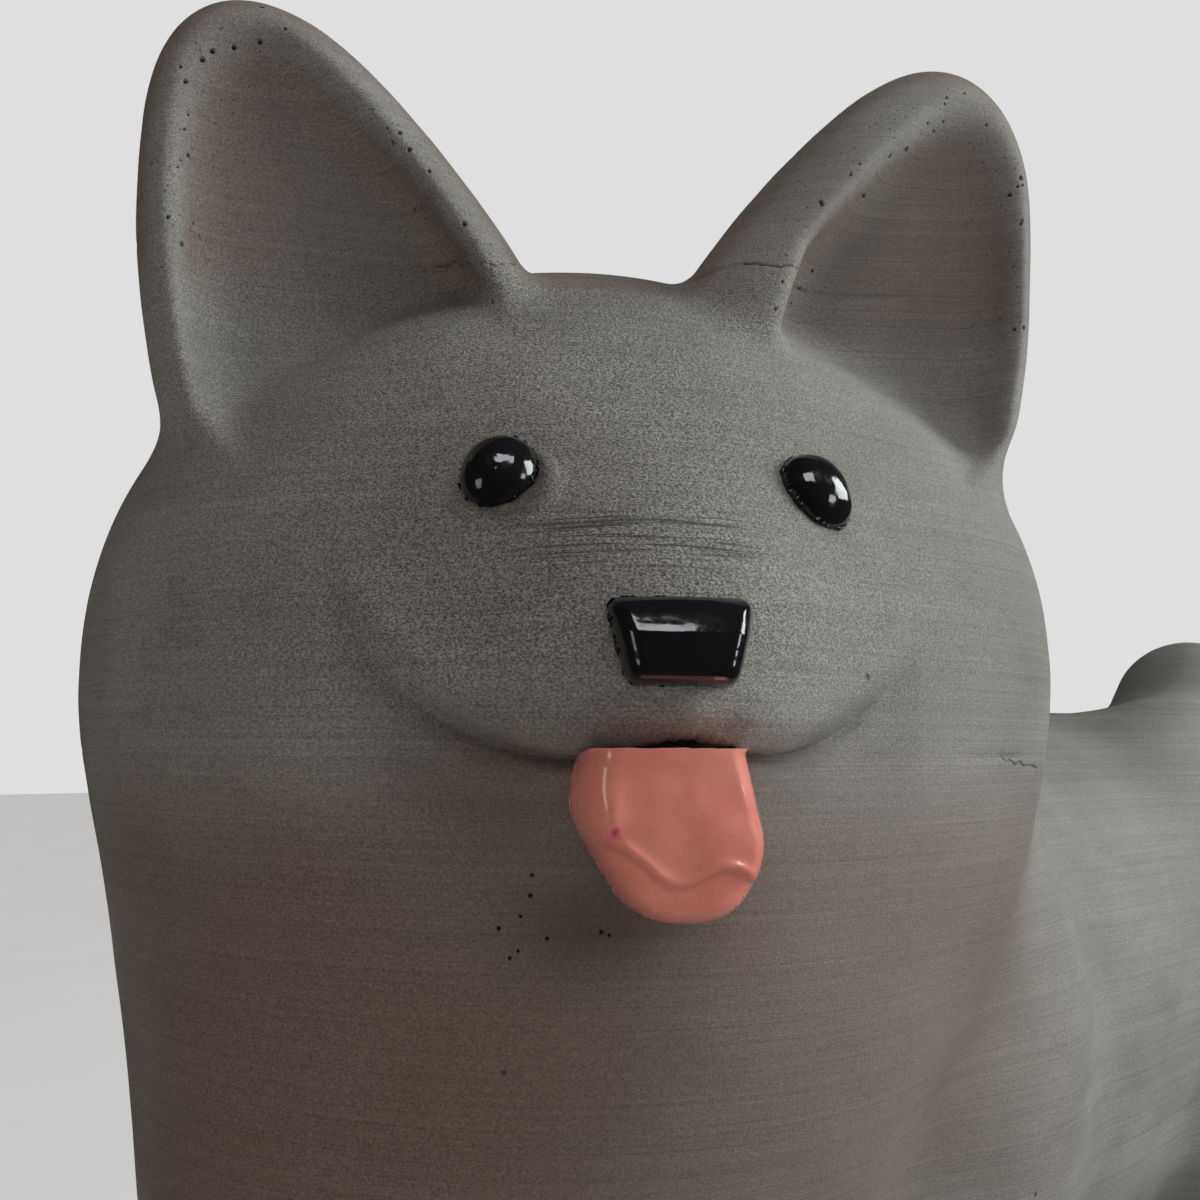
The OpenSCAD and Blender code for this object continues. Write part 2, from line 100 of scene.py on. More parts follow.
def to_head(p):
    q = p - HEAD_AT
    x, y, z = q.T
    return np.stack([x * TURN_C + y * TURN_S, y * TURN_C - x * TURN_S, z], 1)


def from_head(q):
    x, y, z = np.asarray(q, float).T
    return HEAD_AT + np.stack([x * TURN_C - y * TURN_S, x * TURN_S + y * TURN_C, z], 1)


def head_vector(v):
    return vec(v[0] * TURN_C - v[1] * TURN_S, v[0] * TURN_S + v[1] * TURN_C, v[2])


# The camera stands close in front of the face, in the head's own frame
CAM_AT = vec(-23.7, -160.4, 0.6)


def mirrored(p):
    m = p.copy()
    m[:, 0] = np.abs(m[:, 0])
    return m


EAR_TIP = vec(51.3, 97)
EAR_IN, EAR_OUT = vec(10, 57.1), vec(51.4, 35.8)
BOW_IN, BOW_OUT = 3.8, 4.2
EAR_POINT, EAR_EDGE, EAR_FOOT = 22.5, 13.0, 18.0
EAR_BASE = 35.8
# Widths of the rims round the hollows of the ears: the inner one is broader on the dog's left ear
OUTER_RIGHT, OUTER_LEFT, INNER_RIGHT, INNER_LEFT = 5.8, 4.7, 6.8, 9.4
HOLLOW_POINT, HOLLOW_EDGE = 12.0, 6.5
# An ear is a leaning slab that thins upward; the floor of its hollow leans and tilts outward
SLAB_AT, SLAB_LEAN, SLAB_HALF, SLAB_TAPER, EAR_ROOT = 14.4, 0.15, 16.7, 0.17, 24
FLOOR_AT, FLOOR_LEAN, FLOOR_TILT, FLOOR_MID = 19.4, 0.1, 0.11, 35


def cut(a, b, k):
    """Smooth intersection of two distances."""
    return -blend(-a, -b, k)


def edge(p, a, b, bow, side):
    """Distance outward from the arc through a and b, which stands out by bow at its middle."""
    chord = b - a
    length = np.hypot(*chord)
    out = side * vec(chord[1], -chord[0]) / length
    r = (length * length / 4 + bow * bow) / (2 * bow)
    return np.linalg.norm(p - ((a + b) / 2 - out * (r - bow)), axis=1) - r


def ear_edges(p):
    """Distances outward from an ear's inner and outer edge, as seen from ahead."""
    flat = p[:, [0, 2]]
    return edge(flat, EAR_IN, EAR_TIP, BOW_IN, -1), edge(flat, EAR_OUT, EAR_TIP, BOW_OUT, 1)


def leaf(p):
    """Distance outward from an ear's outline, as seen from ahead."""
    return cut(*ear_edges(p), EAR_POINT)


def hollow(p, left):
    """Distance outward from the outline of the hollow in an ear; left is true on the dog's left."""
    inner, outer = ear_edges(p)
    inner_rim = np.where(left, INNER_LEFT + 0.25 * np.maximum(60 - p[:, 2], 0), INNER_RIGHT)
    return cut(inner + inner_rim, outer + np.where(left, OUTER_LEFT, OUTER_RIGHT), HOLLOW_POINT)


def ear(p, left):
    x, y, z = p.T
    rise = z - EAR_BASE
    slab = np.abs(y + SLAB_AT + SLAB_LEAN * rise) - (SLAB_HALF - SLAB_TAPER * rise)
    body = cut(cut(leaf(p), slab, EAR_EDGE), EAR_ROOT - z, EAR_FOOT)
    floor_of_hollow = y + FLOOR_AT + FLOOR_LEAN * rise + FLOOR_TILT * (x - FLOOR_MID)
    return carve(body, cut(hollow(p, left), floor_of_hollow, HOLLOW_EDGE), BLEND_RIM)


SKULL_R = vec(121.5, 114, 128.5) / 2
TEMPLE_AT, TEMPLE_R = vec(35, 3, 15.5), vec(24.5, 34, 30.3)
MUZZLE, MUZZLE_ROOT_R, MUZZLE_TIP_R = 46.0, 22.0, 14.0
# The ears meet the skull in a tighter curve on their inner side
BLEND_INNER, INNER_FROM, INNER_WIDE = 2.5, 28, 16
HEAD_ONLY = 14


def skull(q):
    m = mirrored(q)
    crown = ball(q, vec(0, 5, 0), SKULL_R)
    temples = ball(m, TEMPLE_AT, TEMPLE_R)
    muzzle = limb(q, vec(0, 23 - MUZZLE, 15), vec(0, -MUZZLE, 10), MUZZLE_ROOT_R, MUZZLE_TIP_R)
    face = blend(blend(crown, temples, BLEND_HEAD), muzzle, BLEND_HEAD)
    outward = np.clip((m[:, 0] - INNER_FROM) / INNER_WIDE, 0, 1)
    base = BLEND_INNER + (BLEND_EAR - BLEND_INNER) * outward
    return np.where(q[:, 2] < HEAD_ONLY, face, blend(face, ear(m, q[:, 0] > 0), base))


def ruff(p):
    collar = ball(p, vec(0, HEAD_AT[1] - 8.6, HEAD_AT[2] - 28), vec(49.75, 38, 48))
    chest = limb(p, vec(0, SHOULDER_Y - 3, BACK - 28), vec(0, HEAD_AT[1] - 11.7, 125), 28.0, 40.0)
    return blend(collar, chest, BLEND_TRUNK)


PAW_R = vec(16.5, 23, 14)
FORELEG_Y = SHOULDER_Y - 28


def foreleg(m):
    upper = limb(m, vec(LEG_X - 3, FORELEG_Y + 14, BELLY + 10), vec(LEG_X, FORELEG_Y, 20), 17.5, 13.5)
    return blend(upper, ball(m, vec(LEG_X, FORELEG_Y - 7, 9), PAW_R), BLEND_LEG)


def hind_leg(m):
    knee = vec(LEG_X + 1, HIP_Y + 6, 78)
    hock = vec(LEG_X, HIP_Y + 22, 42)
    upper = limb(m, vec(LEG_X, HIP_Y + 8, BELLY + 12), knee, 28.0, 19.0)
    shank = limb(m, knee, hock, 19.0, 14.0)
    foot = limb(m, hock, vec(LEG_X, HIP_Y + 19, 12), 14.0, 13.5)
    leg = blend(blend(upper, shank, BLEND_LEG), foot, BLEND_LEG)
    return blend(leg, ball(m, vec(LEG_X, HIP_Y + 11, 9), PAW_R), BLEND_LEG)


TAIL_ROOT = vec(0, HIP_Y + 4, BACK)
TAIL_CURL = ((0, 30, -32), (3, 50, -16), (9, 48, -3), (15, 38, 1.5), (20, 27, -4))
TAIL_AT = [TAIL_ROOT + vec(*t) for t in TAIL_CURL]
TAIL_R = [14.5 + t for t in (2.5, 0.5, 0, -0.5, -3.5)]


def tail(p):
    d = limb(p, TAIL_AT[3], TAIL_AT[4], TAIL_R[3], TAIL_R[4])
    for i in (2, 1, 0):
        d = blend(limb(p, TAIL_AT[i], TAIL_AT[i + 1], TAIL_R[i], TAIL_R[i + 1]), d, BLEND_TAIL)
    return d


def trunk(p):
    m = mirrored(p)
    waist = vec(0, TRUNK_Y - 6, BACK - 45)
    nape = limb(p, vec(0, SHOULDER_Y - 2, BACK - 30), waist, 28.0, 43.0)
    loin = limb(p, waist, vec(0, HIP_Y + 20, BACK - 39), 43.0, 40.0)
    keel = limb(p, vec(0, TRUNK_Y - 26, BACK - 64), vec(0, TRUNK_Y + 36, BACK - 62), 38.0, 36.0)
    barrel = blend(np.minimum(nape, loin), keel, BLEND_TRUNK)
    shoulders = ball(m, vec(25, SHOULDER_Y + 6, BACK - 47), vec(22.5, 31, 42))
    hips = ball(m, vec(24, HIP_Y + 14, BACK - 42), vec(22, 40, 46))
    return blend(blend(barrel, shoulders, BLEND_SHOULDER), hips, BLEND_TRUNK)


def dog(p):
    m = mirrored(p)
    legs = np.where(p[:, 1] < TRUNK_Y, foreleg(m), hind_leg(m))
    rear = blend(blend(trunk(p), legs, BLEND_LEG), tail(p), BLEND_LEG)
    return blend(rear, blend(ruff(p), skull(to_head(p)), BLEND_HEAD), BLEND_NECK)


def axis_of(name):
    """Lower end and direction of a rod, in millimetres."""
    p = coords(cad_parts[name].data)
    low, high = p[:, 2].min(), p[:, 2].max()
    a = p[p[:, 2] < low + 2].mean(0)
    b = p[p[:, 2] > high - 2].mean(0)
    return a, (b - a) / np.linalg.norm(b - a)


def coords(mesh):
    co = np.zeros(len(mesh.vertices) * 3, np.float32)
    mesh.vertices.foreach_get("co", co)
    return co.reshape(-1, 3).astype(float) / MM


RODS = ("front_left_rod", "front_right_rod", "hind_left_rod", "hind_right_rod")
BORES = [axis_of(name) for name in RODS]
BORE_R, BORE_DEPTH = 2.6, 7.0


def standing(p):
    """The dog cut off flat at the ground, with the mouths of the four bores."""
    d = np.maximum(dog(p), -p[:, 2])
    for a, u in BORES:
        t = (p - a) @ u
        off = np.linalg.norm(p - a - t[:, None] * u, axis=1)
        d = np.maximum(d, -np.maximum(off - BORE_R, t - BORE_DEPTH))
    return d


# Meshing: one vertex per crossed cell, and a face where two grid neighbours lie on either side
def grid_values(field, gx, gy, gz, chunk=400000):
    x, y, z = np.meshgrid(gx, gy, gz, indexing="ij")
    p = np.stack([x.ravel(), y.ravel(), z.ravel()], 1)
    v = np.concatenate([field(p[i:i + chunk]) for i in range(0, len(p), chunk)])
    return v.reshape(x.shape)


def surface(field, gx, gy, gz):
    """Vertices and quads of the field's zero surface on a grid."""
    v = grid_values(field, gx, gy, gz)
    inside = v < 0
    corners = [(a, b, c) for a in (0, 1) for b in (0, 1) for c in (0, 1)]
    n = [s - 1 for s in v.shape]

    def shifted(array, s):
        return array[s[0]:s[0] + n[0], s[1]:s[1] + n[1], s[2]:s[2] + n[2]]

    count = sum(shifted(inside, s).astype(np.int8) for s in corners)
    cells = np.argwhere((count > 0) & (count < 8))
    index = np.full(n, -1, np.int64)
    index[tuple(cells.T)] = np.arange(len(cells))
    axes = (np.asarray(gx), np.asarray(gy), np.asarray(gz))
    total = np.zeros((len(cells), 3))
    hits = np.zeros(len(cells))
    for s in corners:
        for axis in range(3):
            if s[axis]:
                continue
            t = list(s)
            t[axis] = 1
            ia, ib = cells + s, cells + t
            va, vb = v[tuple(ia.T)], v[tuple(ib.T)]
            cross = (va < 0) != (vb < 0)
            u = np.where(cross, va / np.where(cross, va - vb, 1), 0)
            pa = np.stack([axes[k][ia[:, k]] for k in range(3)], 1)
            pb = np.stack([axes[k][ib[:, k]] for k in range(3)], 1)
            total += np.where(cross[:, None], pa + (pb - pa) * u[:, None], 0)
            hits += cross
    verts = total / hits[:, None]
    quads = []
    for axis, (b, c) in enumerate(((1, 2), (2, 0), (0, 1))):
        low = [slice(1, -1)] * 3
        high = [slice(1, -1)] * 3
        low[axis] = slice(0, -1)
        high[axis] = slice(1, None)
        first, second = inside[tuple(low)], inside[tuple(high)]
        at = np.argwhere(first != second)
        flip = second[tuple(at.T)]
        for k in range(3):
            if k != axis:
                at[:, k] += 1
        step_b = np.eye(3, dtype=int)[b]
        step_c = np.eye(3, dtype=int)[c]
        ring = [index[tuple((at + o).T)] for o in (-step_b - step_c, -step_c, 0 * step_b, -step_b)]
        q = np.stack(ring, 1)
        q[flip] = q[flip][:, ::-1]
        quads.append(q)
    return verts, np.concatenate(quads)


def slope(field, p, e=0.05):
    d = field(p)
    g = [(field(p + e * axis) - field(p - e * axis)) / (2 * e) for axis in np.eye(3)]
    return d, np.stack(g, 1)


def settle(field, p, steps=3, most=1.2):
    """Moves points on to the field's zero surface."""
    for _ in range(steps):
        d, g = slope(field, p)
        n = np.maximum(np.linalg.norm(g, axis=1), 0.2)
        p = p - (np.clip(d / n, -most, most) / n)[:, None] * g
    return p


def make_object(name, verts, faces):
    mesh = bpy.data.meshes.new(name)
    mesh.from_pydata((verts * MM).tolist(), [], faces)
    mesh.validate()
    mesh.shade_smooth()
    piece = bpy.data.objects.new(name, mesh)
    bpy.context.scene.collection.objects.link(piece)
    return piece


def set_coords(mesh, p):
    mesh.vertices.foreach_set("co", (p * MM).astype(np.float32).ravel())
    mesh.update()


def refine(mesh, wanted):
    """Splits the faces whose centre the test wants into four."""
    centres = np.zeros(len(mesh.polygons) * 3, np.float32)
    mesh.polygons.foreach_get("center", centres)
    take = np.flatnonzero(wanted(centres.reshape(-1, 3).astype(float) / MM))
    bm = bmesh.new()
    bm.from_mesh(mesh)
    bm.faces.ensure_lookup_table()
    edges = {e for i in take for e in bm.faces[i].edges}
    bmesh.ops.subdivide_edges(bm, edges=list(edges), cuts=1, use_grid_fill=True)
    bm.to_mesh(mesh)
    bm.free()


# Small forms of the casting, as heights over the plain skin
def ramp(x, a, b):
    """0 up to a, 1 from b on, smooth between."""
    t = np.clip((x - a) / (b - a), 0, 1)
    return t * t * (3 - 2 * t)


def bump(x, w):
    return np.exp(-(x / w) ** 2)


def lattice(i, seed):
    h = (i[:, 0] * 73856093) ^ (i[:, 1] * 19349663) ^ (i[:, 2] * 83492791) ^ (seed * 40503)
    h = ((h & 0xffffffff) * 1274126177) & 0xffffffff
    h = ((h ^ (h >> 15)) * 668265263) & 0xffffffff
    return (h >> 8 & 0xffff) / 32767.5 - 1


def noise(p, seed=1):
    """Smooth noise from -1 to 1 with one wave per unit."""
    p = np.asarray(p, float)
    i = np.floor(p).astype(np.int64)
    f = p - i
    w = f * f * (3 - 2 * f)
    total = np.zeros(len(p))
    for c in np.ndindex(2, 2, 2):
        total += np.prod(np.where(c, w, 1 - w), axis=1) * lattice(i + np.array(c), seed)
    return total


def from_line(q, line):
    """Distance from a broken line."""
    best = np.full(len(q), 1e9)
    for a, b in zip(line[:-1], line[1:]):
        t = np.clip(((q - a) @ (b - a)) / ((b - a) @ (b - a)), 0, 1)
        best = np.minimum(best, np.linalg.norm(q - a - t[:, None] * (b - a), axis=1))
    return best


def from_points(q, points):
    """Distance from the nearest point, and which one it is."""
    best = np.full(len(q), 1e9)
    which = np.zeros(len(q), int)
    for k, c in enumerate(points):
        d = np.linalg.norm(q - c, axis=1)
        which[d < best] = k
        best = np.minimum(best, d)
    return best, which


def on_face(places, depth):
    """Points of the skin that the camera sees behind places across and above, in the head's frame."""
    x, z = np.array(places, float).T
    ray = np.stack([x, 0 * x + depth, z], 1) - CAM_AT
    ray /= np.linalg.norm(ray, axis=1)[:, None]
    far = np.full(len(x), 60.0)
    for _ in range(90):
        far += np.clip(0.7 * standing(from_head(CAM_AT + far[:, None] * ray)), -1, 5)
    return CAM_AT + far[:, None] * ray


def strewn(seed, count, low, high, chance):
    """Places across and above, strewn in a box where chance says how likely each one stays."""
    draw = np.random.default_rng(seed)
    places = draw.uniform(low, high, (80 * count, 2))
    return places[draw.random(len(places)) < chance(places)][:count]


def near_rim(places):
    """How likely a blow hole is: air gathers along the rim of an ear's hollow."""
    p = np.column_stack([np.abs(places[:, 0]), 0 * places[:, 0], places[:, 1]])
    return (leaf(p) < -1.2) * np.exp(-(hollow(p, places[:, 0] > 0) / RIM_BAND) ** 2)


# The smile: flat under the nose, rising to the cheeks, with a hump in the middle of the lip
SMILE_ENDS, SMILE_LOW, SMILE_FLAT, SMILE_RISE = (-31.0, 28.5), -1.3, 9.0, 0.0285
LIP_HUMP, LIP_MID, LIP_WIDE = 1.6, 1.0, 5.5
across = np.linspace(*SMILE_ENDS, 120)
lift = SMILE_RISE * np.maximum(np.abs(across) - SMILE_FLAT, 0) ** 2
SMILE = np.column_stack([across, SMILE_LOW + lift + LIP_HUMP * bump(across - LIP_MID, LIP_WIDE)])

# Blow holes along the ears' rims and under the chin, and short cracks at the ears' roots and a cheek
EAR_FRONT, CHIN_FRONT = -29.0, -52.0
EAR_PORES, CHIN_PORES, RIM_BAND = 64, 9, 1.8
EAR_HOLES = strewn(7, EAR_PORES, (-56, 50), (56, 84), near_rim)
CHIN_HOLES = strewn(8, CHIN_PORES, (-16, -20), (-3, -11), lambda places: np.ones(len(places)))
HOLES = np.vstack([on_face(EAR_HOLES, EAR_FRONT), on_face(CHIN_HOLES, CHIN_FRONT)])
VARIED = np.arange(len(HOLES)) * 37 % 11 / 10
IN_EAR = np.arange(len(HOLES)) < len(EAR_HOLES)
HOLE_R = np.where(IN_EAR, 0.12 + 0.16 * VARIED ** 2, 0.11 + 0.07 * VARIED)
HOLE_DEPTH, CRACK_DEPTH, CRACK_WIDE = 0.6, 0.3, 0.11
CRACK_ENDS = (((-21, 54), (-11, 55)), ((15, 57), (21, 57)), ((46, -1), (50, -2)))
CRACKS = [on_face(np.linspace(a, b, 9), EAR_FRONT) for a, b in CRACK_ENDS]
SEAMS = np.array([232.0, 174.4, 116.8, 59.2])
EYES = {"eye_left": (17.0, 26.0), "eye_right": (-14.8, 26.2)}


def from_smile(q):
    """Height above the line of the smile, measured across it."""
    lean = np.interp(q[:, 0], SMILE[:, 0], np.gradient(SMILE[:, 1], SMILE[:, 0]))
    rag = 0.16 * noise(np.stack([q[:, 0] * 1.7, 0 * q[:, 0], 0 * q[:, 0]], 1), 5) * (np.abs(q[:, 0]) < 9)
    return (q[:, 2] - np.interp(q[:, 0], SMILE[:, 0], SMILE[:, 1]) - rag) / np.sqrt(1 + lean * lean)


def from_boss(q):
    """Distance from the middle of the boss under the dog's right eye."""
    return np.hypot(q[:, 0] + 14.0, q[:, 2] - 25.3)


def by_x(q, *pairs):
    x, y = zip(*pairs)
    return np.interp(q[:, 0], x, y)


def face_relief(q):
    """Mouth, lips and the boss round the dog's right eye."""
    s = from_smile(q)
    soft = by_x(q, (-32, 0), (-28, 0.9), (-20, 1.5), (-12, 1.3), (-8, 1), (20, 1), (25, 0.6), (28.5, 0))
    sharp = by_x(q, (-27, 0), (-19, 0.5), (-12, 0.9), (-8, 1), (-5, 0.3),
                 (4, 0.3), (7, 0.9), (12, 0.8), (19, 0.5), (24, 0.2), (27, 0))
    wide = by_x(q, (-15, 1.7), (-9, 0.8), (8, 0.8), (14, 1.7))
    lips = 0.9 * bump(s - 3.8, 2.6) - 0.6 * wide * bump(s, wide) - 0.8 * bump(s + 3.2, 3.2)
    h = soft * lips - 0.9 * sharp * bump(s, 0.45)
    steps = 0.5 + 0.5 * np.sin(q[:, 2] * 2 * math.pi / 0.5)
    h -= 0.22 * steps * bump(s, 0.6) * ramp(q[:, 0], 9, 12) * ramp(-q[:, 0], -24, -20)
    mouth = ramp(-np.abs(q[:, 0] + 0.8), -4.0, -2.8)
    h -= 2.6 * mouth * ramp(-s, -0.15, 0.3) * ramp(s, -5, -3.5)
    lip = ramp(q[:, 2], 0.8, 2) * ramp(-q[:, 2], -6.5, -5)
    dents = 0.22 * bump(q[:, 0] + 3.2, 1.6) + 0.22 * bump(q[:, 0] - 4.4, 1.6)
    h += lip * (0.4 * bump(q[:, 0] - 0.6, 1.5) - dents)
    h += 0.6 * ramp(-from_boss(q), -4.7, -4.0) * ramp(np.hypot(q[:, 0] + 14.8, q[:, 2] - 26.2), 3.4, 4.0)
    return h * ramp(-q[:, 1], 28, 34)


def toe_relief(p):
    """Two grooves that part the toes of each paw."""
    x = np.abs(np.abs(p[:, 0]) - LEG_X)
    fore = ramp(-p[:, 1], -FORELEG_Y + 15, -FORELEG_Y + 21)
    hind = ramp(-p[:, 1], -HIP_Y + 3, -HIP_Y + 9)
    front = np.where(p[:, 1] < TRUNK_Y, fore, hind)
    return -1.5 * bump(x - 5.2, 1.2) * front * ramp(-p[:, 2], -17, -12) * ramp(p[:, 2], 0.5, 3)


def seam_relief(p):
    z = p[:, 2:] - SEAMS
    at = np.argmin(np.abs(z), axis=1)
    dz = z[np.arange(len(p)), at]
    run = noise(p * vec(0.07, 0.07, 0.01), 7)
    return -(0.05 + 0.22 * ramp(run, 0.05, 0.5)) * bump(dz, 0.35)


def relief(p):
    q = to_head(p)
    h = 0.14 * noise(p / 13, 2) + 0.05 * noise(p / 4.5, 3)
    h = h * ramp(p[:, 2], 0.5, 4)
    h += face_relief(q) + toe_relief(p) + seam_relief(p)
    d, which = from_points(q, HOLES)
    h -= HOLE_DEPTH * np.exp(-(d / HOLE_R[which]) ** 4)
    return h - CRACK_DEPTH * bump(from_crack(q), CRACK_WIDE)


def from_crack(q):
    """Distance from the nearest crack, whose line is a little uneven."""
    shaken = q + np.stack([0.2 * noise(q * 1.6, 11), 0 * q[:, 0], 0.3 * noise(q * 1.1, 13)], 1)
    return np.min([from_line(shaken, c) for c in CRACKS], axis=0)


def fineness(p):
    """How often a face of the skin is split: more where small forms need it."""
    q = to_head(p)
    n = np.zeros(len(p), int)
    n[(q[:, 1] < 10) & (p[:, 2] > 100)] = 1
    n[(p[:, 2] < 20) & (toe_relief(p) < -0.1)] = 1
    for a, u in BORES:
        n[(np.hypot(p[:, 0] - a[0], p[:, 1] - a[1]) < 4.5) & (p[:, 2] < 3)] = 2
    front = q[:, 1] < -28
    s = np.abs(from_smile(q))
    across = np.abs(q[:, 0] + 1.2)
    n[front & (s < 4) & (across < 30)] = 2
    n[(np.abs(p[:, 2:] - SEAMS).min(1) < 0.9) & (q[:, 1] < 10) & (p[:, 2] > 100)] = 2
    m = mirrored(q)
    n[(q[:, 2] > 42) & (np.abs(hollow(m, q[:, 0] > 0)) < 2.4) & (q[:, 1] < -14)] = 2
    n[front & (s < 1.1) & (across < 27)] = 3
    d, _ = from_points(q, HOLES)
    n[d < 1.1] = 3
    crack = from_crack(q)
    n[crack < 1.1] = 3
    n[(d < 0.6) | (crack < 0.45)] = 4
    return n


STEP = 1.7
GRID_BOX = ((-66, 67), (-138, 136), (-3.4, 270))
verts, quads = surface(standing, *(np.arange(a, b, STEP) for a, b in GRID_BOX))
skin = make_object("dog_skin", settle(standing, verts), quads.tolist())
for level in (1, 2, 3, 4):
    refine(skin.data, lambda c: fineness(c) >= level)
    if level < 3:
        set_coords(skin.data, settle(standing, coords(skin.data), 2))
plain = coords(skin.data)
_, normal = slope(standing, plain)
normal /= np.maximum(np.linalg.norm(normal, axis=1), 0.2)[:, None]
raised = plain + normal * relief(plain)[:, None]
raised[:, 2] = np.maximum(raised[:, 2], 0)
set_coords(skin.data, raised)
skin.data.shade_smooth()


# Marks for the material, one value per corner of the skin
def mark(piece, name, values):
    layer = piece.data.attributes.new(name, "FLOAT", "POINT")
    layer.data.foreach_set("value", np.clip(values, 0, 1).astype(np.float32))


q = to_head(plain)
ahead_of = ramp(-q[:, 1], 5, 30)
brow = bump(q[:, 0] + 4, 34) * ramp(q[:, 2], -4, 14) * ramp(-q[:, 2], -62, -50) * ahead_of
mark(skin, "speck", 0.25 + 0.75 * brow + 0.2 * ramp(-q[:, 0], -10, 30) * ahead_of)
# Painted warm shade: the ears' hollows, which also hold some dust, the lower face and chest, more on the
# dog's right, and the dog's right cheek are marked to be painted browner and darker where shade falls.
hollow_shade_and_dust = ramp(q[:, 2], 48, 56) * ramp(q[:, 1], -27.5, -25) * ahead_of
lower_shade = ramp(-q[:, 2], -4, 14) * ahead_of
cheek_shade = 0.9 * bump(np.hypot((q[:, 0] + 15) / 13, (q[:, 2] + 6) / 8), 1) * ahead_of
mark(skin, "warm_shade_and_dust", 0.7 * hollow_shade_and_dust + np.maximum(cheek_shade, lower_shade * (0.7 + 0.3 * ramp(-q[:, 0], -25, 25))))
s = from_smile(q)
front = ramp(-q[:, 1], 34, 42)
# Painted shade along the smile's groove and in the mouth's gap beside the tongue, reaching further along
# the shaded right side of the muzzle, together with the real brown stains at the mouth's corners.
corners = bump(s + 0.45, by_x(q, (-15, 1.4), (-9, 0.65), (8, 0.65), (13, 1.2)))
corners *= by_x(q, (-30, 0), (-24, 0.25), (-14, 0.45), (-8, 0.9), (8, 0.9), (12, 0.7), (20, 0)) * front
# A darker patch under the left of the tongue.
under_tongue_dark = bump(np.hypot((q[:, 0] + 6.5) / 1.5, q[:, 2] + 16), 4.2) * front
off, which = from_points(q, HOLES)
# Painted shade inside the blow holes.
hole_shade = np.exp(-(off / (1.1 * HOLE_R[which])) ** 4)
# Painted shade on the unpainted side of the boss below the dog's right eye.
boss_side_shade = 0.55 * ramp(-from_boss(q), -4.6, -4.0) * front
# Painted shade in the cracks.
crack_shade = 0.4 * bump(from_crack(q), 0.13)
# Mostly painted shade: in the smile's groove and the mouth's gap, the blow holes, the cracks, by the
# eye's boss and on the shaded cheek, with the real stains at the mouth's corners and the darker patch
# under the tongue.
mark(skin, "shade_and_stain", 0.75 * corners + 0.7 * under_tongue_dark + 0.9 * hole_shade + boss_side_shade + crack_shade + 0.2 * cheek_shade)
m = mirrored(q)
mark(skin, "rim", ramp(leaf(m), -10, -7.5) * ramp(q[:, 2], 46, 54) * ramp(-q[:, 1], 18, 24))
bridge = ramp(q[:, 0], -16, -9) * ramp(-q[:, 0], -10, -4) * front
bridge *= ramp(q[:, 2], 14.5, 17) * ramp(-q[:, 2], -23, -20)
mark(skin, "scratch", bridge)


# Gloss pieces: an outline on the skin with a rounded height over it
def outline(points, count):
    """The closed line along the points, a little smoothed, and evenly spaced."""
    p = np.array(points, float)
    n = np.roll(p, -1, axis=0)
    p = np.stack([0.75 * p + 0.25 * n, 0.25 * p + 0.75 * n], 1).reshape(-1, 2)
    x, y = p.T
    if np.sum(x * np.roll(y, -1) - y * np.roll(x, -1)) < 0:
        p = p[::-1]
    p = np.vstack([p, p[:1]])
    run = np.concatenate([[0], np.cumsum(np.hypot(*np.diff(p, axis=0).T))])
    at = np.arange(count) / count * run[-1]
    return np.stack([np.interp(at, run, p[:, k]) for k in (0, 1)], 1)


def cornered(corners):
    """Closed line of straight runs, with a curve at each corner that starts a given way before it."""
    c = np.array(corners, float)
    t = np.linspace(0, 1, 9)[:, None]
    out = []
    for before, here, after in zip(np.roll(c, 1, 0)[:, :2], c, np.roll(c, -1, 0)[:, :2]):
        at = here[:2]
        start, end = (at + here[2] * (p - at) / np.linalg.norm(p - at) for p in (before, after))
        out.append((1 - t) ** 2 * start + 2 * t * (1 - t) * at + t * t * end)
    return np.vstack(out)


def ragged(loop, amount, seed):
    """Shakes the line in and out, as a brush leaves it."""
    mid = loop.mean(0)
    out = (loop - mid) / np.linalg.norm(loop - mid, axis=1)[:, None]
    flat = np.column_stack([loop, 0 * loop[:, 0]])
    wave = noise(flat * 2.2, seed) + 0.6 * noise(flat * 5.5, seed + 1)
    return loop + out * (amount * wave)[:, None]


def pillow(name, centre, u, v, smooth, loop, height, sink, rings=30, top=1e9):
    """A closed piece over the smooth outline with a ragged rim, seated on the skin along its plane's
    normal. Its edge is round except above top."""
    n = np.cross(u, v)
    m = len(loop)
    mid = smooth.mean(0)
    rho = np.sin(np.arange(1, rings + 1) / rings * math.pi / 2)
    circles = [mid + r * (smooth - mid) + ramp(r, 0.9, 1) * (loop - smooth) for r in rho]
    uv = np.vstack([mid[None]] + circles)
    seat = centre + uv[:, :1] * u + uv[:, 1:] * v
    for _ in range(14):
        seat = seat - 0.9 * dog(seat)[:, None] * n
    rim = np.stack([smooth, np.roll(smooth, -1, axis=0)], 1)
    rim = rim[rim[:, :, 1].min(1) < top]
    d = np.min([from_line(uv, r) for r in rim], axis=0)
    rise = height(uv, d, seat)
    rise[-m:] = 0
    verts = np.vstack([seat + n * rise[:, None], seat[-m:] - n * sink, seat[:1] - n * sink])
    last = len(verts) - 1
    faces = []
    for i in range(m):
        j = (i + 1) % m
        faces.append((0, 1 + i, 1 + j))
        for k in range(rings):
            a = 1 + k * m
            faces.append((a + i, a + m + i, a + m + j, a + j))
        faces.append((last, 1 + rings * m + j, 1 + rings * m + i))
    return make_object(name, verts, faces), uv


def rounded(d, r):
    """Share of the full height at distance d inside an edge rounded by r."""
    t = 1 - np.clip(d / r, 0, 1)
    return np.sqrt(np.maximum(1 - t * t, 0))


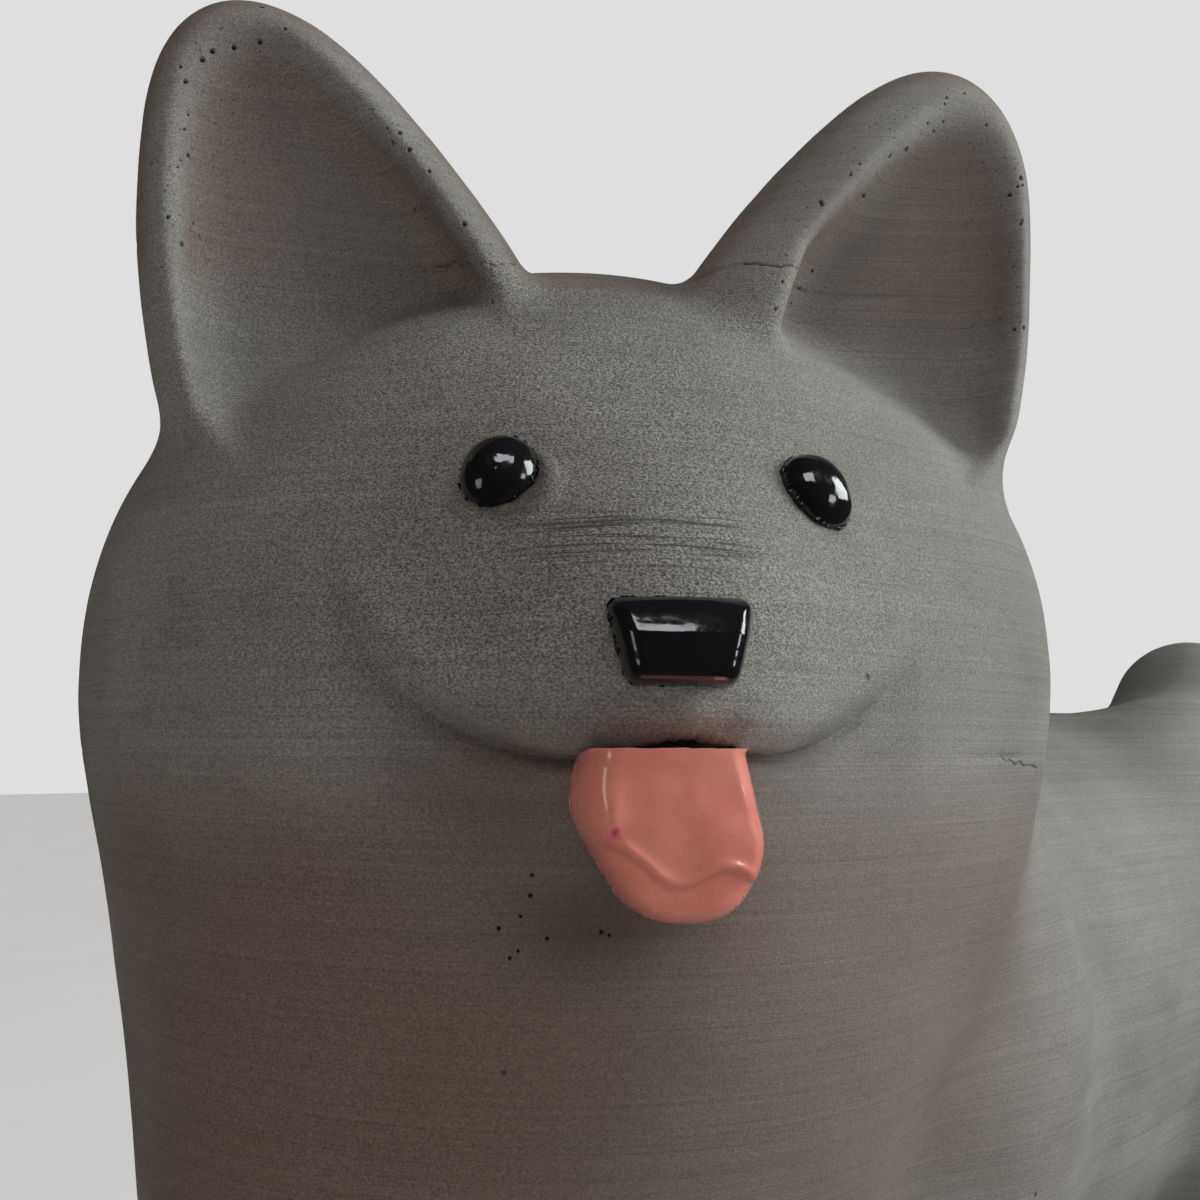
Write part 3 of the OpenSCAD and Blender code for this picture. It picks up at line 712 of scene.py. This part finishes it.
def replace_node(piece, node, material):
    piece.data.materials.append(material)
    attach(piece, "root")
    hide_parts(node)


# Materials
def add(tree, kind, values=None, **settings):
    """A node with its inputs set or linked."""
    node = tree.nodes.new(kind)
    for key, value in settings.items():
        setattr(node, key, value)
    for key, value in (values or {}).items():
        if isinstance(value, bpy.types.NodeSocket):
            tree.links.new(value, node.inputs[key])
        else:
            node.inputs[key].default_value = value
    return node


def shader(name):
    m = bpy.data.materials.new(name)
    m.use_nodes = True
    tree = m.node_tree
    place = add(tree, "ShaderNodeTexCoord").outputs["Object"]
    return m, tree, tree.nodes["Principled BSDF"], place


def link(tree, shader_node, **values):
    for key, value in values.items():
        tree.links.new(value, shader_node.inputs[key.replace("_", " ")])


def grain(tree, place, scale, detail=2.0, rough=0.5, shift=(0, 0, 0)):
    """Noise with its own scale along each axis, in waves per metre."""
    at = add(tree, "ShaderNodeMapping", {"Vector": place, "Scale": scale, "Location": shift}).outputs[0]
    values = {"Vector": at, "Scale": 1.0, "Detail": detail, "Roughness": rough}
    return add(tree, "ShaderNodeTexNoise", values).outputs[0]


def span(tree, value, low, high, to_low=0.0, to_high=1.0):
    values = {"Value": value, "From Min": low, "From Max": high, "To Min": to_low, "To Max": to_high}
    return add(tree, "ShaderNodeMapRange", values).outputs[0]


def sums(tree, operation, a, b):
    return add(tree, "ShaderNodeMath", {0: a, 1: b}, operation=operation).outputs[0]


def mix(tree, factor, a, b):
    return add(tree, "ShaderNodeMix", {0: factor, 6: a, 7: b}, data_type="RGBA").outputs[2]


def scaled(tree, colour, factor):
    return add(tree, "ShaderNodeVectorMath", {0: colour, "Scale": factor}, operation="SCALE").outputs[0]


def raise_by(tree, height, strength, distance):
    values = {"Height": height, "Strength": strength, "Distance": distance}
    return add(tree, "ShaderNodeBump", values).outputs[0]


def read(tree, name):
    return add(tree, "ShaderNodeAttribute", attribute_name=name).outputs["Fac"]


def concrete_material():
    """Fine cast concrete with the layer lines of its mould, dashes, stains and pores, and painted shade
    in its pores, holes, cracks and creases and over its lower and shaded parts.
    """
    m, t, b, place = shader("concrete")
    lines = grain(t, place, (14, 14, 4700), 2.0, 0.6)
    bands = grain(t, place, (4, 4, 800), 2.0, 0.6)
    dashes = grain(t, place, (3700, 3700, 5800), 2.0, 0.6)
    fine = grain(t, place, (2600, 2600, 2600), 2.0, 0.6)
    mottle = grain(t, place, (55, 55, 75), 5.0, 0.62)
    cloud = grain(t, place, (17, 17, 24), 3.0, 0.55, (3, 1, 2))
    tone = span(t, lines, 0.3, 0.7, 0.88, 1.12)
    tone = sums(t, "MULTIPLY", tone, span(t, bands, 0.3, 0.7, 0.985, 1.015))
    tone = sums(t, "MULTIPLY", tone, span(t, fine, 0.3, 0.7, 0.9, 1.1))
    tone = sums(t, "MULTIPLY", tone, span(t, cloud, 0.3, 0.7, 0.93, 1.07))
    colour = mix(t, span(t, mottle, 0.3, 0.7), (0.208, 0.197, 0.176, 1), (0.268, 0.258, 0.235, 1))
    # Painted warm shade: browner and darker on the lower face and chest, on the shaded right cheek and
    # in the ears' hollows, where there is also some dust.
    warm_shade_and_dust = sums(t, "MULTIPLY", read(t, "warm_shade_and_dust"), span(t, cloud, 0.3, 0.65, 0.6, 1.0))
    colour = mix(t, warm_shade_and_dust, colour, (0.172, 0.119, 0.092, 1))
    colour = scaled(t, colour, tone)
    speck = sums(t, "MULTIPLY", span(t, dashes, 0.36, 0.64, -0.55, 0.6), read(t, "speck"))
    colour = scaled(t, colour, sums(t, "SUBTRACT", 0.93, speck))
    streaks = grain(t, place, (90, 90, 4300), 1.5, 0.5, (0, 0, 5))
    scratch = sums(t, "MULTIPLY", span(t, streaks, 0.54, 0.6), read(t, "scratch"))
    colour = mix(t, sums(t, "MULTIPLY", scratch, 0.8), colour, (0.045, 0.04, 0.036, 1))
    # Painted shade in the smile's groove and the mouth's gap, the blow holes, the cracks, by the eye's
    # boss and on the shaded cheek, darkened together with the real stains at the mouth's corners and the
    # darker patch under the tongue.
    shade_and_stain = sums(t, "MULTIPLY", read(t, "shade_and_stain"), span(t, mottle, 0.25, 0.55, 0.6, 1.0))
    colour = mix(t, shade_and_stain, colour, (0.052, 0.037, 0.026, 1))
    cells = add(t, "ShaderNodeTexVoronoi", {"Vector": place, "Scale": 105.0})
    chosen = add(t, "ShaderNodeSeparateColor", {"Color": cells.outputs["Color"]}).outputs[0]
    pits = span(t, cells.outputs["Distance"], 0.045, 0.03)
    pore = sums(t, "MULTIPLY", pits, span(t, chosen, 0.7, 0.72))
    small = add(t, "ShaderNodeTexVoronoi", {"Vector": place, "Scale": 1050.0})
    kept = add(t, "ShaderNodeSeparateColor", {"Color": small.outputs["Color"]}).outputs[0]
    points = span(t, small.outputs["Distance"], 0.15, 0.1)
    pricks = sums(t, "MULTIPLY", points, span(t, kept, 0.4, 0.42))
    pore = sums(t, "MAXIMUM", pore, sums(t, "MULTIPLY", pricks, read(t, "rim")))
    # Pores and pin pricks are painted dark: painted shade inside them.
    colour = mix(t, sums(t, "MULTIPLY", pore, 0.85), colour, (0.04, 0.035, 0.03, 1))
    height = sums(t, "ADD", sums(t, "MULTIPLY", lines, 0.5), sums(t, "MULTIPLY", bands, 0.12))
    height = sums(t, "ADD", height, sums(t, "MULTIPLY", fine, 0.3))
    height = sums(t, "SUBTRACT", height, sums(t, "ADD", speck, sums(t, "MULTIPLY", pore, 2.0)))
    height = sums(t, "SUBTRACT", height, scratch)
    rise = raise_by(t, height, 0.5, 0.00016)
    link(t, b, Base_Color=colour, Normal=rise, Roughness=span(t, mottle, 0.3, 0.7, 0.62, 0.82))
    b.inputs["Specular IOR Level"].default_value = 0.32
    return m


def black_material():
    """Gloss black brushed on by hand."""
    m, t, b, place = shader("black_gloss")
    strokes = grain(t, place, (420, 420, 900), 3.0, 0.6)
    blots = grain(t, place, (900, 900, 900), 2.0, 0.5)
    colour = mix(t, span(t, strokes, 0.35, 0.7), (0.008, 0.008, 0.009, 1), (0.009, 0.009, 0.011, 1))
    rise = raise_by(t, sums(t, "ADD", strokes, blots), 0.12, 0.0002)
    link(t, b, Base_Color=colour, Normal=rise, Roughness=span(t, blots, 0.3, 0.7, 0.05, 0.2))
    b.inputs["Specular IOR Level"].default_value = 0.4
    b.inputs["Coat Weight"].default_value = 0.5
    b.inputs["Coat Roughness"].default_value = 0.04
    return m


def coral_material():
    """Coral pink paint under a thick clear coat."""
    m, t, b, place = shader("coral_gloss")
    swirl = grain(t, place, (160, 160, 240), 3.0, 0.55)
    dots = grain(t, place, (2300, 2300, 2300), 1.0, 0.5)
    colour = mix(t, span(t, swirl, 0.3, 0.7), (0.72, 0.212, 0.167, 1), (0.83, 0.275, 0.215, 1))
    colour = mix(t, span(t, dots, 0.68, 0.78, 0.0, 0.5), colour, (0.45, 0.13, 0.11, 1))
    # A small magenta spot on the tongue's left.
    colour = mix(t, read(t, "magenta_spot"), colour, (0.65, 0.02, 0.16, 1))
    # Painted shade just under the fold's ridge on the tongue.
    colour = mix(t, read(t, "deep"), colour, (0.5, 0.13, 0.1, 1))
    rise = raise_by(t, swirl, 0.25, 0.0006)
    link(t, b, Base_Color=colour, Normal=rise, Roughness=span(t, swirl, 0.3, 0.7, 0.22, 0.34))
    b.inputs["Coat Weight"].default_value = 1.0
    b.inputs["Coat Roughness"].default_value = 0.03
    b.inputs["Subsurface Weight"].default_value = 0.08
    b.inputs["Subsurface Radius"].default_value = (0.002, 0.0008, 0.0006)
    return m


def steel_material():
    """Drawn bar, its lines along the rod."""
    m, t, b, place = shader("steel")
    drawn = grain(t, place, (3200, 3200, 40), 2.0, 0.6)
    dull = grain(t, place, (300, 300, 120), 3.0, 0.6)
    colour = mix(t, span(t, dull, 0.3, 0.7), (0.47, 0.47, 0.47, 1), (0.62, 0.63, 0.66, 1))
    rise = raise_by(t, drawn, 0.3, 0.0001)
    link(t, b, Base_Color=colour, Normal=rise, Roughness=span(t, drawn, 0.3, 0.7, 0.28, 0.45))
    b.inputs["Metallic"].default_value = 1.0
    return m


def floor_material():
    m, t, b, place = shader("floor_pale")
    soft = grain(t, place, (9, 9, 9), 4.0, 0.5)
    pale = mix(t, soft, (0.74, 0.735, 0.72, 1), (0.79, 0.785, 0.775, 1))
    link(t, b, Base_Color=pale, Roughness=span(t, soft, 0.3, 0.7, 0.8, 0.95))
    glow = add(t, "ShaderNodeEmission", {"Color": pale, "Strength": 0.9})
    seen = sums(t, "MULTIPLY", add(t, "ShaderNodeLightPath").outputs["Is Camera Ray"], 0.7)
    both = add(t, "ShaderNodeMixShader", {0: seen, 1: b.outputs[0], 2: glow.outputs[0]})
    t.links.new(both.outputs[0], t.nodes["Material Output"].inputs[0])
    return m


concrete, black = concrete_material(), black_material()
coral, steel = coral_material(), steel_material()
replace_node(skin, "casting", concrete)
for name in RODS:
    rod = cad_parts[name]
    rod.data.materials.clear()
    rod.data.materials.append(steel)

# Eyes: domes on the face, each with a ragged rim where the brush stopped
ACROSS, UPWARD = head_vector((1, 0, 0)), vec(0, 0, 1)
EYE_R, EYE_RISE, EYE_ROUND = 4.08, 3.2, 4.0
for name, at in EYES.items():
    p = from_head(np.array([(at[0], -52.0, at[1])]))
    for _ in range(20):
        p = p - 0.9 * dog(p)[:, None] * head_vector((0, -1, 0))
    n = slope(dog, p)[1][0]
    n /= np.linalg.norm(n)
    u = np.cross(UPWARD, n)
    u /= np.linalg.norm(u)
    turn = np.arange(200) * 2 * math.pi / 200
    tear = 0.14 if name == "eye_left" else -0.05
    r = EYE_R * (1 + tear * bump((turn - math.radians(308)) / 0.5, 1) - 0.03 * np.cos(2 * turn))
    smooth = np.stack([r * np.cos(turn), r * np.sin(turn)], 1)
    loop = ragged(smooth, 0.15, 21 if name == "eye_left" else 31)

    def dome(uv, d, seat):
        ring = np.hypot(uv[:, 0] - 0.6, uv[:, 1] + 0.4)
        angle = np.arctan2(uv[:, 1] + 0.4, uv[:, 0] - 0.6)
        brush = noise(np.stack([ring * 3.2, np.cos(angle) * 0.9, np.sin(angle) * 0.9], 1), 41)
        return EYE_RISE * rounded(d, EYE_ROUND) + 0.03 * brush * ramp(d, 0, 0.8)

    piece, _ = pillow(name + "_dome", p[0], u, np.cross(n, u), smooth, loop, dome, 2.0)
    replace_node(piece, name, black)

# Nose: a trapezoid with a flat front and a bevelled top
NOSE_TOP, NOSE_FOOT, NOSE_WIDE, NOSE_NARROW = 13.3, 5.4, 6.7, 4.9
NOSE_FRONT, NOSE_BEVEL, NOSE_ROUND = -63.6, 9.8, 1.7
NOSE = [(-NOSE_WIDE, NOSE_TOP - 0.2, 1.7), (NOSE_WIDE, NOSE_TOP, 1.6),
        (NOSE_NARROW, NOSE_FOOT, 1.3), (-NOSE_NARROW, NOSE_FOOT, 1.4)]
smooth = outline(cornered(NOSE), 220)
left = ramp(-smooth[:, 0], -1, 4)[:, None]
loop = smooth + (ragged(smooth, 0.13, 51) - smooth) * (0.3 + 0.7 * left)


def nose_height(uv, d, seat):
    y = to_head(seat)[:, 1]
    bevel = 0.5 * np.maximum(uv[:, 1] - NOSE_BEVEL, 0) ** 1.15
    flat = NOSE_FRONT + 0.012 * uv[:, 0] ** 2 + bevel + 0.05 * np.maximum(9 - uv[:, 1], 0)
    brush = noise(np.stack([uv[:, 0] * 0.7, uv[:, 1] * 2.4, 0 * d], 1), 61)
    full = y - flat
    return full * (0.1 + 0.9 * rounded(d, NOSE_ROUND)) + 0.015 * brush * ramp(d, 0, 0.8)


centre = from_head(np.array([(0.0, -60.0, 0.0)]))[0]
piece, _ = pillow("nose_piece", centre, ACROSS, UPWARD, smooth, loop, nose_height, 2.5)
replace_node(piece, "nose", black)

# Tongue: thick, hanging over the lip, with a fold across its lower part
TONGUE_TOP, TONGUE_LOW, TONGUE_FRONT, TONGUE_ROUND = 0.2, -15.4, -62.7, 2.3
TONGUE = [(-8.2, TONGUE_TOP, 1.2), (-9.2, -5, 3), (-2.8, TONGUE_LOW, 4.2),
          (6, TONGUE_LOW, 3.4), (9, -9, 3), (6, TONGUE_TOP, 0.5)]
FOLD_MID, FOLD_WAVE, FOLD_CREST, FOLD_LONG, FOLD_LIFT = -10.3, 0.7, 3.9, 8.4, 0.075
along = np.linspace(-6.4, 7.2, 61)
wave = FOLD_WAVE * np.cos(2 * math.pi * (along - FOLD_CREST) / FOLD_LONG)
FOLD = np.column_stack([along, FOLD_MID + wave + FOLD_LIFT * np.maximum(-0.3 - along, 0) ** 2])
smooth = outline(cornered(TONGUE), 240)
loop = ragged(smooth, 0.05, 71)


def tongue_height(uv, d, seat):
    y = to_head(seat)[:, 1]
    curl = 0.035 * np.maximum(-6 - uv[:, 1], 0) ** 2
    front = TONGUE_FRONT - 0.12 * uv[:, 1] + curl + 0.016 * (uv[:, 0] + 0.3) ** 2
    full = np.maximum(y - front, 3.0)
    off = from_line(uv, FOLD)
    under = np.interp(uv[:, 0], FOLD[:, 0], FOLD[:, 1]) - uv[:, 1]
    fold = 0.26 * bump(off, 0.5) - 0.42 * ramp(under, 0.1, 0.9) * ramp(-under, -4, -1.5)
    sway = 0.18 * noise(np.stack([uv[:, 0] / 3.1, uv[:, 1] / 3.1, 0 * d], 1), 81)
    pool = 0.3 * bump(np.hypot(uv[:, 0] + 6.2 - 0.1 * (uv[:, 1] + 5), (uv[:, 1] + 5) / 2.6), 0.9)
    return full * rounded(d, TONGUE_ROUND) + (fold + sway + pool) * ramp(d, 0.2, 1.6)


piece, uv = pillow("tongue_piece", centre, ACROSS, UPWARD, smooth, loop, tongue_height, 1.5, 40, -0.3)
count = len(piece.data.vertices)
full = np.vstack([uv, uv[-len(loop):], uv[:1]])[:count]
# A small magenta spot on the tongue's left.
mark(piece, "magenta_spot", bump(np.hypot(full[:, 0] + 5.95, (full[:, 1] + 6.75) * 0.8), 0.3) * 1.2)
# Painted shade just under the fold's ridge on the tongue.
mark(piece, "deep", 0.5 * bump(from_line(full, FOLD - vec(0, 0.5)), 0.4))
replace_node(piece, "tongue", coral)

# Floor, light and background
bpy.ops.mesh.primitive_plane_add(size=8, location=(0, 0, 0))
floor = bpy.context.object
floor.name = "floor"
floor.data.materials.append(floor_material())
floor.visible_glossy = False

scene = bpy.context.scene
scene.view_settings.view_transform = "Standard"
world = bpy.data.worlds.new("studio")
scene.world = world
world.use_nodes = True
tree = world.node_tree
path = add(tree, "ShaderNodeLightPath")
soft_light = tree.nodes["Background"]
soft_light.inputs["Color"].default_value = (0.9, 0.88, 0.86, 1)
soft_light.inputs["Strength"].default_value = 0.23
mirrored_room = add(tree, "ShaderNodeBackground", {"Color": (0.5, 0.5, 0.52, 1), "Strength": 0.03})
backdrop = add(tree, "ShaderNodeBackground", {"Color": (0.74, 0.74, 0.74, 1), "Strength": 1.0})
gloss = add(tree, "ShaderNodeMixShader", {
    0: path.outputs["Is Glossy Ray"], 1: soft_light.outputs[0], 2: mirrored_room.outputs[0]})
seen = add(tree, "ShaderNodeMixShader", {
    0: path.outputs["Is Camera Ray"], 1: gloss.outputs[0], 2: backdrop.outputs[0]})
tree.links.new(seen.outputs[0], tree.nodes["World Output"].inputs[0])


def lamp(name, place, target, size, size_y, power, colour=(1, 1, 1)):
    data = bpy.data.lights.new(name, "AREA")
    data.shape = "RECTANGLE"
    data.size = size
    data.size_y = size_y
    data.energy = power
    data.color = colour
    o = bpy.data.objects.new(name, data)
    scene.collection.objects.link(o)
    o.location = place
    o.rotation_euler = (Vector(target) - Vector(place)).to_track_quat("-Z", "Y").to_euler()
    return o


DOG_MIDDLE, FACE_MIDDLE = (0, -0.07, 0.16), (0.04, -0.11, 0.18)
lamp("window", (0.75, 0.62, 0.62), DOG_MIDDLE, 0.5, 0.7, 10.4, (0.96, 1.0, 1.0))
bounce = lamp("bounce", (0.05, -0.75, 0.1), DOG_MIDDLE, 0.5, 0.4, 0.45, (1.0, 0.8, 0.64))
bounce.visible_glossy = False
skylight = lamp("skylight", (0.46, -0.02, 1.05), DOG_MIDDLE, 0.3, 0.2, 2.3)
skylight.visible_glossy = False

# Panes that only the gloss pieces mirror: place, width, height and power
PANES = {"pane_above": ((0.55, -0.48, 0.98), 0.6, 0.4, 4.8),
         "pane_right": ((0.95, 0.22, 0.2), 0.25, 0.25, 1.4),
         "pane_left": ((-0.16, -0.75, 0.13), 0.2, 0.22, 0.3)}
for name, (at, wide, tall, power) in PANES.items():
    pane = lamp(name, at, FACE_MIDDLE, wide, tall, power, (0.95, 0.96, 1.0))
    pane.visible_diffuse = False

# The camera looks at the face from close by
YAW, PITCH, ROLL = (math.radians(a) for a in (9.4, 6.8, 0.4))


ahead = vec(math.sin(YAW) * math.cos(PITCH), math.cos(YAW) * math.cos(PITCH), math.sin(PITCH))
right = vec(math.cos(YAW), -math.sin(YAW), 0)
up = np.cross(right, ahead)
right, up = (math.cos(ROLL) * right + math.sin(ROLL) * up, math.cos(ROLL) * up - math.sin(ROLL) * right)
cam_data = bpy.data.cameras.new("camera")
cam = bpy.data.objects.new("camera", cam_data)
scene.collection.objects.link(cam)
scene.camera = cam
SENSOR, LENS = 36, 36
cam_data.sensor_width = SENSOR
cam_data.lens = LENS
cam_data.clip_start = 0.01
place = Vector(from_head(CAM_AT[None])[0] * MM)
axes = [Vector(head_vector(v)) for v in (right, up, -ahead)]
cam.matrix_world = Matrix.Translation(place) @ Matrix([[a[i] for a in axes] for i in range(3)]).to_4x4()
